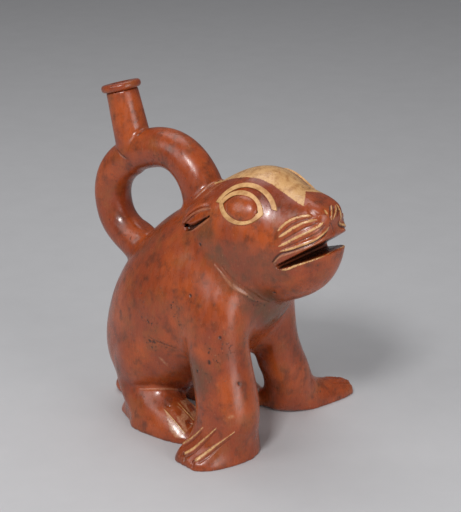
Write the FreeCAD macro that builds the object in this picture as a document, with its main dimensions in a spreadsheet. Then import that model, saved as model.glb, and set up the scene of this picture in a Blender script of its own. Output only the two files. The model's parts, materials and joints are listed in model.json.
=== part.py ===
import FreeCAD, Part
import math
import os

from FreeCAD import Placement, Rotation, Vector

# Sea lion effigy vessel: a fired clay stirrup-spout bottle, built from the clay pieces that a potter
# forms one by one and lutes together. Millimetres, +Z up. The animal sits on the plane z = 0 and looks
# along -Y, and its right side is -X. The forms are drawn about the mirror plane x = 0, and at the end
# every piece is moved alike, so that the origin lies under the middle of the whole vessel.

# Driving sizes
SIZES = {
    "block_size": 300.0,
    "overrun": 10.0,
    "wall": 4.5,
    "body_length": 128.0,
    "body_height": 143.0,
    "body_half_width": 46.5,
    "head_length": 106.5,
    "head_height": 46.0,
    "head_half_width": 34.5,
    "stirrup_reach": 74.3,
    "stirrup_rise": 75.8,
    "stirrup_radius": 11.2,
    "stirrup_wall": 3.8,
    "spout_length": 38.9,
    "spout_top_radius": 9.6,
    "spout_foot_radius": 11.3,
    "spout_bore_radius": 5.6,
    "spout_angle": 15.8,
    "lip_radius": 12.0,
    "lip_height": 4.6,
    "lip_round": 2.0,
    "eye_half_long": 9.6,
    "eye_half_high": 7.4,
    "eye_half_thick": 3.6,
    "relief": 1.1,
    "lid_front": 13.0,
    "lid_back": 15.5,
    "lid_rise": 10.0,
    "lid_drop": 9.4,
    "lid_band": 2.8,
    "brow_gap": 2.6,
    "brow_band": 2.8,
    "brow_reach": 3.6,
    "brow_front_rise": 4.0,
    "mouth_corner_gap": 2.4,
    "mouth_wall": 3.5,
    "ear_half_long": 12.0,
    "ear_half_high": 4.4,
    "ear_half_thick": 4.8,
    "ear_hollow_drop": 2.6,
    "ear_hollow_half_high": 3.2,
    "ear_hollow_half_thick": 6.0,
    "ear_angle": 36.0,
    "foreleg_height": 106.0,
    "foreleg_right_out": 34.5,
    "foreleg_right_forward": 35.5,
    "foreleg_right_radius": 18.4,
    "foreleg_left_out": 41.0,
    "foreleg_left_forward": 26.0,
    "foreleg_left_radius": 16.0,
    "fore_flipper_right_reach": 27.5,
    "fore_flipper_right_height": 26.0,
    "fore_flipper_right_half_width": 18.0,
    "fore_flipper_left_reach": 41.5,
    "fore_flipper_left_height": 23.0,
    "fore_flipper_left_half_width": 14.0,
    "hind_flipper_reach": 31.5,
    "hind_flipper_height": 29.0,
    "hind_flipper_half_width": 17.0,
    "toe_groove_radius": 1.3,
    "tail_half_long": 12.0,
    "tail_half_wide": 11.0,
    "tail_half_high": 7.0,
}

# Chamber, from the rump to the neck. Each row is one oval section: its back point (y, z) and its front
# point (y, z) as shares of the body's length and height, and its half width as a share of the body's.
# The chamber closes in a point at either end.
BODY_END_SHARES = ((0.328, 0.056), (-0.281, 0.937))
BODY_SHARES = (
    (0.477, 0.094, 0.164, 0.098, 0.495),
    (0.551, 0.203, 0.008, 0.189, 0.785),
    (0.578, 0.329, -0.102, 0.280, 0.925),
    (0.551, 0.476, -0.180, 0.364, 0.978),
    (0.480, 0.629, -0.266, 0.448, 1.000),
    (0.328, 0.808, -0.359, 0.552, 0.925),
    (0.133, 0.944, -0.414, 0.671, 0.774),
    (-0.078, 1.000, -0.422, 0.783, 0.538),
)

# Head, from the nape to the muzzle, given the same way: top point, throat point and half width, counted
# from the nape point, whose own place is a share of the body's length and height.
HEAD_ORIGIN_SHARE = (0.172, 0.839)
HEAD_END_SHARES = ((0.0, 0.0), (-1.0, 0.239))
HEAD_SHARES = (
    (-0.085, 0.304, -0.122, -0.435, 0.609),
    (-0.207, 0.630, -0.244, -0.674, 0.899),
    (-0.376, 0.880, -0.394, -0.772, 1.000),
    (-0.516, 1.000, -0.526, -0.772, 0.986),
    (-0.638, 0.978, -0.638, -0.707, 0.913),
    (-0.742, 0.870, -0.751, -0.609, 0.797),
    (-0.845, 0.826, -0.864, -0.467, 0.667),
    (-0.934, 0.750, -0.948, -0.283, 0.507),
    (-0.977, 0.609, -0.986, -0.087, 0.348),
)

# Places on the head (y, z), as shares of its length and height
EYE_SHARE = (-0.577, 0.641)
EAR_SHARE = (-0.272, 0.413)
MOUTH_CORNER_SHARE = (-0.784, -0.022)

# The mouth runs forward from its corner by a share of the head's length, and rises as it goes, its upper
# and its lower edge by shares of that run.
MOUTH_REACH_SHARE = 0.254
MOUTH_RISE_SHARES = {"upper": 0.69, "lower": 0.40}

# Stirrup tube, from the back of the vessel over the top to the nape: centre (y, z) as shares of its reach
# and rise, counted from its foot in the back, and radius as a share of its thinnest. The rear arm ends
# and the front arm starts at the joint station, under the spout.
STIRRUP_ORIGIN_SHARE = (0.359, 0.619)
STIRRUP_SHARES = (
    (0.000, 0.000, 1.214),
    (0.128, 0.119, 1.098),
    (0.262, 0.202, 1.036),
    (0.384, 0.290, 1.009),
    (0.452, 0.416, 1.000),
    (0.468, 0.547, 1.000),
    (0.431, 0.686, 1.009),
    (0.336, 0.805, 1.018),
    (0.202, 0.901, 1.027),
    (0.061, 0.967, 1.045),
    (-0.087, 1.000, 1.062),
    (-0.242, 0.978, 1.071),
    (-0.377, 0.891, 1.089),
    (-0.464, 0.772, 1.125),
    (-0.511, 0.640, 1.196),
    (-0.532, 0.508, 1.295),
)
STIRRUP_JOINT = 9
SPOUT_STATION = 8

# Each foreleg from the shoulder down: centre (out from the mirror plane, forward, up) as shares of the
# ankle's place and the leg's height, and half widths across and along the body as shares of the ankle's.
# The two legs were shaped by hand and differ a little.
FORELEG_SHARES = {
    "right": (
        (0.667, 0.394, 1.000, 0.815, 1.087),
        (0.783, 0.563, 0.849, 0.978, 1.250),
        (0.899, 0.690, 0.660, 0.946, 1.065),
        (0.928, 0.831, 0.472, 0.946, 0.978),
        (0.957, 0.958, 0.302, 0.989, 1.000),
        (1.000, 1.000, 0.132, 1.000, 1.000),
    ),
    "left": (
        (0.561, 0.538, 1.000, 0.938, 1.250),
        (0.610, 0.615, 0.811, 1.087, 1.219),
        (0.665, 0.700, 0.623, 0.980, 1.040),
        (0.757, 0.780, 0.434, 0.900, 0.930),
        (0.885, 0.925, 0.264, 0.910, 0.910),
        (1.000, 1.000, 0.113, 0.970, 0.950),
    ),
}

# Flippers, from the heel to the toes: centre (out, back) as shares of the flipper's reach, counted from
# the ankle over it, then top height and half width as shares of the flipper's own.
FLIPPER_SHARES = {
    "fore_flipper_right": (
        (-0.78, 0.00, 0.38, 0.47),
        (-0.62, 0.02, 0.73, 0.75),
        (-0.24, 0.09, 1.00, 1.00),
        (0.24, 0.20, 0.85, 1.00),
        (0.60, 0.29, 0.56, 0.89),
        (0.84, 0.35, 0.35, 0.72),
        (1.00, 0.38, 0.21, 0.47),
    ),
    "fore_flipper_left": (
        (-0.34, 0.23, 0.35, 0.46),
        (-0.24, 0.18, 0.70, 0.79),
        (-0.05, 0.08, 1.00, 1.00),
        (0.22, -0.04, 0.83, 0.96),
        (0.51, -0.16, 0.61, 0.82),
        (0.80, -0.28, 0.48, 0.64),
        (1.00, -0.36, 0.33, 0.39),
    ),
    "hind_flipper": (
        (-0.30, 1.00, 0.58, 0.56),
        (-0.17, 0.76, 0.97, 0.84),
        (-0.06, 0.41, 1.07, 0.97),
        (0.00, 0.00, 0.91, 1.00),
        (0.00, -0.46, 0.62, 0.97),
        (-0.03, -0.78, 0.38, 0.85),
        (-0.06, -0.94, 0.22, 0.62),
    ),
}

# Places of the hind ankles (out, y) and of the tail (y, z), as shares of the body's sizes, and how far an
# oval of a flipper dips under the ground, as a share of its top height
HIND_ANKLE_SHARE = (0.591, 0.145)
TAIL_SHARE = (0.523, 0.028)
SOLE_SHARE = 0.5

# Where the three grooves between the toes lie, as shares of the half width, and where they start along
# the flipper, as a share of its stations
GROOVE_SHARES = (-0.5, 0.0, 0.5)
GROOVE_START_SHARE = 0.5

SIDES = {"right": -1, "left": 1}
SECTION_POINTS = 12

doc = FreeCAD.newDocument("sea_lion_vessel")
sheet = doc.addObject("Spreadsheet::Sheet", "Sizes")
for row, (alias, value) in enumerate(SIZES.items(), 1):
    sheet.set("A%d" % row, alias)
    sheet.set("B%d" % row, str(value))
    sheet.setAlias("B%d" % row, alias)
doc.recompute()


def size(alias):
    return sheet.get(alias)


ACROSS = Vector(1, 0, 0)
BACKWARD = Vector(0, 1, 0)
FORWARD = Vector(0, -1, 0)
UP = Vector(0, 0, 1)


# The rows of a table of shares, each column times the size that it is a share of
def scaled(rows, *aliases):
    return [[share * size(alias) for share, alias in zip(row, aliases)] for row in rows]


body_origin = Vector()
head_origin = Vector(0, *scaled([HEAD_ORIGIN_SHARE], "body_length", "body_height")[0])
stirrup_origin = Vector(0, *scaled([STIRRUP_ORIGIN_SHARE], "body_length", "body_height")[0])


# A point in the mirror plane that is given in shares of the head
def head_point(share):
    return head_origin + Vector(0, *scaled([share], "head_length", "head_height")[0])


def form(name, shape):
    feature = doc.addObject("Part::Feature", name)
    feature.Shape = shape
    return feature


# A closed oval wire about a centre: its half size along one direction, and its reach either way along
# the other
def oval(centre, across, half_across, upward, reach_up, reach_down):
    points = []
    for step in range(SECTION_POINTS):
        turn = 2 * math.pi * step / SECTION_POINTS
        rise = math.sin(turn)
        reach = reach_up if rise > 0 else reach_down
        points.append(centre + across * (half_across * math.cos(turn)) + upward * (reach * rise))
    curve = Part.BSplineCurve()
    curve.interpolate(Points=points, PeriodicFlag=True)
    return Part.Wire([curve.toShape()])


# Closed form through ovals square to the mirror plane. Every section and both end points are drawn in
# by inset, which gives the inner face of a wall, or out by a negative inset.
def profile_form(name, kind, origin, end_shares, shares, inset):
    length, height, half_width = kind + "_length", kind + "_height", kind + "_half_width"
    low, high = [origin + Vector(0, y, z) for y, z in scaled(end_shares, length, height)]
    along = (high - low).normalize()
    sections = [Part.Vertex(low + along * inset)]
    for back_y, back_z, front_y, front_z, half in scaled(shares, length, height, length, height, half_width):
        back = origin + Vector(0, back_y, back_z)
        front = origin + Vector(0, front_y, front_z)
        upward = (back - front).normalize()
        reach = (back - front).Length / 2 - inset
        sections.append(oval((back + front) / 2, ACROSS, half - inset, upward, reach, reach))
    sections.append(Part.Vertex(high - along * inset))
    return form(name, Part.makeLoft(sections, True, False))


def body_form(name, inset):
    return profile_form(name, "body", body_origin, BODY_END_SHARES, BODY_SHARES, inset)


def head_form(name, inset):
    return profile_form(name, "head", head_origin, HEAD_END_SHARES, HEAD_SHARES, inset)


# Direction of a centre line at each of its stations, from the stations on either side
def directions(points):
    last = len(points) - 1
    return [(points[min(i + 1, last)] - points[max(i - 1, 0)]).normalize() for i in range(last + 1)]


stirrup_rows = scaled(STIRRUP_SHARES, "stirrup_reach", "stirrup_rise", "stirrup_radius")
stirrup_line = [stirrup_origin + Vector(0, y, z) for y, z, radius in stirrup_rows]


# Part of the stirrup tube, from one station to another, drawn in by inset
def tube_form(name, first, last, inset):
    stations = list(zip(stirrup_line, directions(stirrup_line), stirrup_rows))[first:last]
    sections = []
    for point, along, (y, z, radius) in stations:
        reach = radius - inset
        sections.append(oval(point, ACROSS, reach, along.cross(ACROSS), reach, reach))
    return form(name, Part.makeLoft(sections, True, False))


def ankle(side, sign):
    out, forward = size("foreleg_%s_out" % side), size("foreleg_%s_forward" % side)
    return ACROSS * (sign * out) + FORWARD * forward


def leg_form(side, sign):
    leg = "foreleg_%s_" % side
    radius = leg + "radius"
    rows = scaled(FORELEG_SHARES[side], leg + "out", leg + "forward", "foreleg_height", radius, radius)
    points = [Vector(sign * out, -forward, up) for out, forward, up, half_across, half_along in rows]
    sections = []
    for point, down, (out, forward, up, half_across, half_along) in zip(points, directions(points), rows):
        ahead = ACROSS.cross(down).normalize()
        sections.append(oval(point, down.cross(ahead), half_across, ahead, half_along, half_along))
    return form("leg_" + side, Part.makeLoft(sections, True, False))


# Centre points, top heights and half widths of a flipper's stations
def flipper_line(kind, centre, sign):
    reach, height, half_width = kind + "_reach", kind + "_height", kind + "_half_width"
    rows = scaled(FLIPPER_SHARES[kind], reach, reach, height, half_width)
    points = [centre + ACROSS * (sign * out) + BACKWARD * back for out, back, top, half in rows]
    return points, [row[2] for row in rows], [row[3] for row in rows]


# A flipper: ovals square to its centre line. Their lower half dips under the ground plane, where the
# sole is cut flat.
def flipper_form(name, kind, centre, sign):
    points, tops, halves = flipper_line(kind, centre, sign)
    sections = []
    for point, along, top, half in zip(points, directions(points), tops, halves):
        sections.append(oval(point, UP.cross(along), half, UP, top, top * SOLE_SHARE))
    return form(name, Part.makeLoft(sections, True, False))


# Round grooves between the toes: bars that lie on the top of the flipper and fan out with it
def groove_bars(name, kind, centre, sign):
    points, tops, halves = flipper_line(kind, centre, sign)
    ways = directions(points)
    last = len(points) - 1
    first = int(last * GROOVE_START_SHARE)
    bars = []
    for share in GROOVE_SHARES:
        rise_share = math.sqrt(1 - share * share)
        start, end = [
            points[i] + UP.cross(ways[i]) * (halves[i] * share) + UP * (tops[i] * rise_share)
            for i in (first, last)
        ]
        run = end - start
        bars.append(Part.makeCylinder(size("toe_groove_radius"), run.Length + size("overrun"), start, run))
    return form(name, Part.makeCompound(bars))


def boolean(kind, name, base, tool):
    feature = doc.addObject(kind, name)
    feature.Base = base
    feature.Tool = tool
    feature.Refine = False
    return feature


def common(name, base, tool):
    return boolean("Part::Common", name, base, tool)


def fuse(name, base, tool):
    return boolean("Part::Fuse", name, base, tool)


def cut(name, base, *tools):
    for number, tool in enumerate(tools, 1):
        step_name = name if number == len(tools) else "%s_cut_%d" % (name, number)
        base = boolean("Part::Cut", step_name, base, tool)
    return base


def bind(feature, **expressions):
    for path, expression in expressions.items():
        feature.setExpression(path, expression)


# A block that fills one side of a plane, with its corner given in shares of its own size
def block(name, *corner_shares):
    box = doc.addObject("Part::Box", name)
    bind(box, Length="Sizes.block_size", Width="Sizes.block_size", Height="Sizes.block_size")
    for axis, share in zip("xyz", corner_shares):
        box.setExpression("Placement.Base." + axis, "Sizes.block_size * %g" % share)
    return box


half_space = {"right": block("right_half", -1, -0.5, -0.25), "left": block("left_half", 0, -0.5, -0.25)}
above_ground = block("above_ground", -0.5, -0.5, 0)

# Forms of the chamber, the head and the stirrup, outer and inner
body_outer = body_form("body_outer", 0)
body_inner = body_form("body_inner", size("wall"))
head_outer = head_form("head_outer", 0)
head_inner = head_form("head_inner", size("wall"))
head_relief = head_form("head_relief", -size("relief"))
rear_outer = tube_form("rear_outer", 0, STIRRUP_JOINT, 0)
rear_bore = tube_form("rear_bore", 0, STIRRUP_JOINT, size("stirrup_wall"))
front_outer = tube_form("front_outer", STIRRUP_JOINT - 1, None, 0)
front_bore = tube_form("front_bore", STIRRUP_JOINT - 1, None, size("stirrup_wall"))


# Mouth: a slot that widens forwards from its corner. The same slot drawn out by margin gives the lining
# that keeps it apart from the hollow of the head.
def mouth_form(name, margin):
    start = ACROSS * (-size("block_size") / 2) + head_point(MOUTH_CORNER_SHARE) + BACKWARD * margin
    half_gap = size("mouth_corner_gap") / 2 + margin
    reach = size("head_length") * MOUTH_REACH_SHARE + margin
    edges = {"upper": UP * half_gap, "lower": UP * -half_gap}
    outline = []
    for edge, beside in edges.items():
        far = start + FORWARD * reach + UP * (reach * MOUTH_RISE_SHARES[edge]) + beside
        outline.append([start + beside, far])
    near_upper, far_upper = outline[0]
    near_lower, far_lower = outline[1]
    face = Part.Face(Part.makePolygon([near_lower, near_upper, far_upper, far_lower, near_lower]))
    return form(name, face.extrude(ACROSS * size("block_size")))


mouth_slot = mouth_form("mouth_slot", 0)
mouth_lining = common("mouth_lining", head_outer, mouth_form("mouth_block", size("mouth_wall")))

# Spout: a tapering tube on the joint of the two stirrup arms, and its rolled lip, about one leaning axis
spout_place = Placement(stirrup_line[SPOUT_STATION], Rotation(ACROSS, -size("spout_angle")))
spout_cone = doc.addObject("Part::Cone", "spout_cone")
bind(
    spout_cone,
    Radius1="Sizes.spout_foot_radius",
    Radius2="Sizes.spout_top_radius",
    Height="Sizes.spout_length",
)
spout_bore = doc.addObject("Part::Cylinder", "spout_bore")
bind(
    spout_bore,
    Radius="Sizes.spout_bore_radius",
    Height="Sizes.spout_length + Sizes.lip_height + Sizes.overrun",
)
lip_disc = doc.addObject("Part::Cylinder", "lip_disc")
bind(lip_disc, Radius="Sizes.lip_radius", Height="Sizes.lip_height")
spout_cone.Placement = spout_place
spout_bore.Placement = spout_place
lip_disc.Placement = spout_place.multiply(Placement(UP * size("spout_length"), Rotation()))
doc.recompute()
lip_rolled = doc.addObject("Part::Fillet", "lip_rolled")
lip_rolled.Base = lip_disc
rim_edges = [n for n, edge in enumerate(lip_disc.Shape.Edges, 1) if edge.Closed and len(edge.Vertexes) == 1]
lip_rolled.Edges = [(n, size("lip_round"), size("lip_round")) for n in rim_edges]

nodes = {
    "spout_tube": cut("spout_tube", spout_cone, rear_outer, front_outer, spout_bore),
    "spout_lip": cut("spout_lip", lip_rolled, spout_bore),
    "stirrup_rear_arm": cut("stirrup_rear_arm", rear_outer, rear_bore, body_outer, spout_bore),
    "stirrup_front_arm": cut(
        "stirrup_front_arm", front_outer, front_bore, body_outer, head_outer, spout_bore
    ),
}
doc.recompute()


# Where a line across the animal leaves the head: the point on its skin and the axes there, forwards along
# the head, up, and outwards
def skin_frame(sign, share):
    start = head_point(share)
    inside = head_outer.Shape.common(Part.makeLine(start, start + ACROSS * (sign * size("block_size"))))
    point = max((vertex.Point for vertex in inside.Vertexes), key=lambda spot: sign * spot.x)
    face = min(head_outer.Shape.Faces, key=lambda skin: skin.distToShape(Part.Vertex(point))[0])
    outward = face.normalAt(*face.Surface.parameter(point))
    if outward.x * sign < 0:
        outward = -outward
    forward = (FORWARD - outward * outward.dot(FORWARD)).normalize()
    return point, forward, forward.cross(outward) * sign, outward


def arc_edge(start, middle, end):
    return Part.Arc(start, middle, end).toShape()


# Raised bands round an eye: an almond ring and, above it, an arc. Each is a prism through the skin, and
# what the band keeps lies between the skin and the skin moved out by the relief.
def eye_bands(side, point, forward, upward, outward):
    front, back = size("lid_front"), size("lid_back")
    rise, drop = size("lid_rise"), size("lid_drop")
    base = point - outward * front
    through = outward * (front * 2)

    def spot(along, height):
        return base + forward * along + upward * height

    def almond(inset):
        tips = spot(front - inset, 0), spot(inset - back, 0)
        upper = arc_edge(tips[0], spot(0, rise - inset), tips[1])
        lower = arc_edge(tips[1], spot(0, inset - drop), tips[0])
        return Part.Face(Part.Wire([upper, lower])).extrude(through)

    band = size("brow_band")
    height = rise + size("brow_gap")
    ahead = front + size("brow_reach")
    front_rise = size("brow_front_rise")
    under = spot(ahead, front_rise), spot(0, height), spot(-back, 0)
    over = spot(-back - band, 0), spot(0, height + band), spot(ahead + band, front_rise)
    ends = Part.makeLine(under[2], over[0]), Part.makeLine(over[2], under[0])
    brow = Part.Face(Part.Wire([arc_edge(*under), ends[0], arc_edge(*over), ends[1]])).extrude(through)
    ring = almond(0).cut(almond(size("lid_band")))
    return form("lid_prism_" + side, ring), form("brow_prism_" + side, brow)


# An ellipsoid at a point, with its long axis along one direction and its thin axis along another
def ellipsoid(name, half_long, half_thick, half_high, point, along, outward):
    ball = doc.addObject("Part::Ellipsoid", name)
    bind(ball, Radius1="Sizes." + half_high, Radius2="Sizes." + half_long, Radius3="Sizes." + half_thick)
    ball.Placement = Placement(point, Rotation(along, outward, along.cross(outward), "XYZ"))
    return ball


# Eyes: the bulging ball, the almond ring round it and the brow over it
eyeballs = []
for side, sign in SIDES.items():
    point, forward, upward, outward = skin_frame(sign, EYE_SHARE)
    radii = ("eye_half_long", "eye_half_thick", "eye_half_high")
    eyeball = ellipsoid("eyeball_" + side, *radii, point, forward, outward)
    eyeballs.append(eyeball)
    nodes["eyeball_" + side] = eyeball
    lid_prism, brow_prism = eye_bands(side, point, forward, upward, outward)
    lid = common("lid_on_skin_" + side, head_relief, lid_prism)
    brow = common("brow_on_skin_" + side, head_relief, brow_prism)
    nodes["eyelid_ring_" + side] = cut("eyelid_ring_" + side, lid, head_outer, eyeball)
    nodes["brow_band_" + side] = cut("brow_band_" + side, brow, head_outer)

# Ears: small flaps on the side of the neck, hollowed from below
for side, sign in SIDES.items():
    point, level, upward, outward = skin_frame(sign, EAR_SHARE)
    turn = math.radians(size("ear_angle"))
    along = level * math.cos(turn) + upward * math.sin(turn)
    square = upward * math.cos(turn) - level * math.sin(turn)
    radii = ("ear_half_long", "ear_half_thick", "ear_half_high")
    flap = ellipsoid("ear_flap_" + side, *radii, point, along, outward)
    radii = ("ear_half_long", "ear_hollow_half_thick", "ear_hollow_half_high")
    under = point - square * size("ear_hollow_drop")
    hollow = ellipsoid("ear_hollow_" + side, *radii, under, along, outward)
    nodes["ear_" + side] = cut("ear_" + side, flap, hollow, head_outer, body_outer)

# Shells of the chamber and the head, each a right and a left half with the seam on the mirror plane
body_shell = cut("body_shell", body_outer, body_inner, head_outer, rear_bore, front_bore)
head_wall = cut("head_wall", head_outer, head_inner, body_inner)
head_lined = fuse("head_lined", head_wall, mouth_lining)
head_shell = cut("head_shell", head_lined, mouth_slot, front_bore, *eyeballs)
for side in SIDES:
    nodes["body_shell_" + side] = common("body_shell_" + side, body_shell, half_space[side])
    nodes["head_shell_" + side] = common("head_shell_" + side, head_shell, half_space[side])


# A flipper cut flat on the ground, and the same flipper with its toe grooves
def flipper(name, kind, centre, sign, *cutters):
    flat = common(name + "_flat", flipper_form(name + "_whole", kind, centre, sign), above_ground)
    grooves = groove_bars(name + "_grooves", kind, centre, sign)
    nodes[name] = cut(name, flat, *cutters, grooves)
    return flat


# Legs and feet
hind_feet = []
for side, sign in SIDES.items():
    foot = flipper("fore_flipper_" + side, "fore_flipper_" + side, ankle(side, sign), sign)
    nodes["foreleg_" + side] = cut("foreleg_" + side, leg_form(side, sign), body_outer, head_outer, foot)
    hind_out, hind_y = scaled([HIND_ANKLE_SHARE], "body_half_width", "body_length")[0]
    hind_ankle = Vector(sign * hind_out, hind_y, 0)
    hind_feet.append(flipper("hind_flipper_" + side, "hind_flipper", hind_ankle, sign, body_outer))

# Tail, between the hind flippers
tail_point = Vector(0, *scaled([TAIL_SHARE], "body_length", "body_height")[0])
tail_radii = ("tail_half_long", "tail_half_wide", "tail_half_high")
tail_ball = ellipsoid("tail_ball", *tail_radii, tail_point, BACKWARD, ACROSS)
tail_flat = common("tail_flat", tail_ball, above_ground)
nodes["tail_stub"] = cut("tail_stub", tail_flat, body_outer, *hind_feet)
doc.recompute()

# The origin is the middle of the footprint's box, on the ground under the vessel
whole = Part.makeCompound([node.Shape for node in nodes.values()]).optimalBoundingBox(False)
footprint = Placement(Vector(-whole.Center.x, -whole.Center.y, 0), Rotation())
pieces = []
for name, node in nodes.items():
    node.Label = name + "_form"
    piece = doc.addObject("Part::Compound", name + "_piece")
    piece.Links = [node]
    piece.Placement = footprint
    piece.Label = name
    pieces.append(piece)
doc.recompute()

faults = [item.Name for item in doc.Objects if "Invalid" in item.State or "Error" in item.State]
for piece in pieces:
    shape = piece.Shape
    if shape.isNull() or not shape.isValid() or shape.Volume <= 0 or not shape.Solids:
        faults.append(piece.Label)
if faults:
    raise ValueError("faulty objects: " + ", ".join(faults))

os.makedirs("parts", exist_ok=True)
print("moved by", footprint.Base)
for piece in pieces:
    print("%-24s solids %d volume %9.1f" % (piece.Label, len(piece.Shape.Solids), piece.Shape.Volume))
    piece.Shape.exportStep("parts/%s.step" % piece.Label)
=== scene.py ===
import json
import math
from collections import namedtuple

import bpy
import numpy as np
from mathutils import Matrix, Vector
from mathutils.bvhtree import BVHTree

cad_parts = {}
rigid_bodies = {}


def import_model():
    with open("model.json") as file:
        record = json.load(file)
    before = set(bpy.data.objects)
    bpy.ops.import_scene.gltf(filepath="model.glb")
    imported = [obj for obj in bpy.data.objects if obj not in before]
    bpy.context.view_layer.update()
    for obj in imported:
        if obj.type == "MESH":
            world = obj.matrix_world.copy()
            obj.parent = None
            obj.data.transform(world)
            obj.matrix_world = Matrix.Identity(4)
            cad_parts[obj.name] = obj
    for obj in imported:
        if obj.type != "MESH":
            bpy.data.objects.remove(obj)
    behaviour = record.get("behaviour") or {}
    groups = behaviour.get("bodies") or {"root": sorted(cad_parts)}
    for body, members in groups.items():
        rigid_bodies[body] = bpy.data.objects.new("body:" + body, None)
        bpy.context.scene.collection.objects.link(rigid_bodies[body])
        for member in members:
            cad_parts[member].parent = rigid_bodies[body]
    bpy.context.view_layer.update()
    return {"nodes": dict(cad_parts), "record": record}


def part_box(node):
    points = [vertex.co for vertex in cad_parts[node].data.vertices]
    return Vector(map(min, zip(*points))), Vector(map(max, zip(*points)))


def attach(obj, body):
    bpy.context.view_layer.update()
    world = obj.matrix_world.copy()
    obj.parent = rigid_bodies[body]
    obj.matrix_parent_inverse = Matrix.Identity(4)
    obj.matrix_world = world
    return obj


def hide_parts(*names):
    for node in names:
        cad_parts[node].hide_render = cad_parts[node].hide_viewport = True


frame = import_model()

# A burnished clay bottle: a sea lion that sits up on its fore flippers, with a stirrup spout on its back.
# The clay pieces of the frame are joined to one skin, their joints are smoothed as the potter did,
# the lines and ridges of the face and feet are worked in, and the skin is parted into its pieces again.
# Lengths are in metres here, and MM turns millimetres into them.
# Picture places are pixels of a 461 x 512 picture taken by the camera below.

MM = 0.001
SIDES = ("right", "left")


def both(*names):
    return [f"{name}_{side}" for side in SIDES for name in names]


SHELLS = both("body_shell", "head_shell")
TUBES = ["stirrup_rear_arm", "stirrup_front_arm"]
SOLIDS = both("foreleg", "fore_flipper", "hind_flipper", "ear") + ["tail_stub", "spout_tube"]
CLAY = SHELLS + TUBES + SOLIDS

# The walls that show where a hollow piece ends, and the most that a wall takes of the clay's thickness.
SHELL_WALL = 4.5 * MM
TUBE_WALL = 3.8 * MM
WALL_SHARE = 0.45

# The skin's mesh: how near vertices are one, its cell, and how near a worked line its faces are finer.
MERGE_GAP = 0.001 * MM
SKIN_CELL = 0.8 * MM
FINE_REACH = 2.4 * MM

# The plug in the spout: how much wider it is than the bore, its share of the bore's length, and its corners.
PLUG_EXCESS = 0.5 * MM
PLUG_SHARE = 0.5
PLUG_CORNERS = 48

# How near a hollow's sides face each other to be darkened as painted shade, and how far off the skin such a
# measure starts.
CAVITY_REACH = 9 * MM
START_GAP = 0.05 * MM

# How softly a patch of slip ends.
PATCH_EDGE = 0.35 * MM

# How far from a joint the clay is smoothed, how strongly, in how many rounds, and how much clay is laid on
# there: names of the two sides, reach, strength, rounds, height.
SEAM_BLENDS = (
    ("body_shell", "foreleg", 12 * MM, 1.0, 400, 0),
    ("body_shell", "head_shell", 7 * MM, 0.6, 300, 0),
    ("body_shell", "stirrup", 5 * MM, 0.35, 300, 0),
    ("head_shell", "stirrup", 4 * MM, 0.25, 300, 0),
    ("head_shell", "foreleg", 5 * MM, 0.4, 300, 0),
    ("head_shell", "ear", 2.5 * MM, 0.05, 300, 0),
    ("foreleg", "fore_flipper", 15 * MM, 1.0, 700, 1.3 * MM),
    ("foreleg_right", "foreleg_left", 5 * MM, 0.5, 300, 0),
    ("body_shell", "hind_flipper", 11 * MM, 1.0, 700, 1.0 * MM),
    ("body_shell", "tail_stub", 5 * MM, 0.7, 400, 1.0 * MM),
    ("stirrup_rear", "stirrup_front", 5 * MM, 0.4, 300, 0),
    ("stirrup", "spout_tube", 3 * MM, 0.08, 300, 0),
)
LAST_ROUNDS = 3

# Creases that stay, as lines in picture places, and how near them the smoothing wanes to a share.
KEPT_CREASES = (
    ((134, 379.5), (143.4, 384.6), (152, 388), (167, 387), (176, 388), (197.6, 396.5)),
    ((184.6, 227), (196, 224), (208.8, 216.2)),
)
KEPT_NEAR = 3 * MM
KEPT_FAR = 7 * MM
KEPT_SHARE = 0.04

# The hind toes, as picture lines, are smoothed too before they are drawn in again.
SOFT_TOES = (((158, 396), (176, 408), (184, 424)), ((170, 395), (184, 402), (194, 414)))
SOFT_REACH = 9 * MM
SOFT_ROUNDS = 150

# The picture: its size, and the camera that sees the vessel in it.
PICTURE_WIDTH = 461
PICTURE_HEIGHT = 512
FOCAL_PIXELS = 1615
SENSOR = 36
CAMERA_TURN = math.radians(52)
CAMERA_RISE = math.radians(20)
CAMERA_DISTANCE = 950 * MM
AIM_FROM_EYES = Vector((5, 32.9, -44.5)) * MM


def box_centre(node):
    low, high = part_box(node)
    return (low + high) / 2


EYE_MIDDLE = (box_centre("eyeball_right") + box_centre("eyeball_left")) / 2
MIRROR = EYE_MIDDLE.x
BACK = Vector((
    -math.sin(CAMERA_TURN) * math.cos(CAMERA_RISE),
    -math.cos(CAMERA_TURN) * math.cos(CAMERA_RISE),
    math.sin(CAMERA_RISE),
))
ACROSS = Vector((0, 0, 1)).cross(BACK).normalized()
UP = BACK.cross(ACROSS)
CAMERA_PLACE = EYE_MIDDLE + AIM_FROM_EYES + BACK * CAMERA_DISTANCE


# Helpers for meshes.

TINY = 1e-12


def deselect():
    bpy.ops.object.select_all(action="DESELECT")


def select(obj):
    deselect()
    obj.select_set(True)
    bpy.context.view_layer.objects.active = obj


def apply(obj, kind, **settings):
    """Adds a modifier, sets it and applies it."""
    select(obj)
    modifier = obj.modifiers.new(kind.title(), kind)
    for name, value in settings.items():
        setattr(modifier, name, value)
    bpy.ops.object.modifier_apply(modifier=modifier.name)


def node_copy(node, name):
    """A copy of a frame node's mesh as a new object, with its loose triangles merged."""
    obj = bpy.data.objects.new(name, frame["nodes"][node].data.copy())
    bpy.context.scene.collection.objects.link(obj)
    obj.data.materials.clear()
    select(obj)
    bpy.ops.object.mode_set(mode="EDIT")
    bpy.ops.mesh.select_all(action="SELECT")
    bpy.ops.mesh.remove_doubles(threshold=MERGE_GAP)
    bpy.ops.object.mode_set(mode="OBJECT")
    return obj


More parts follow.
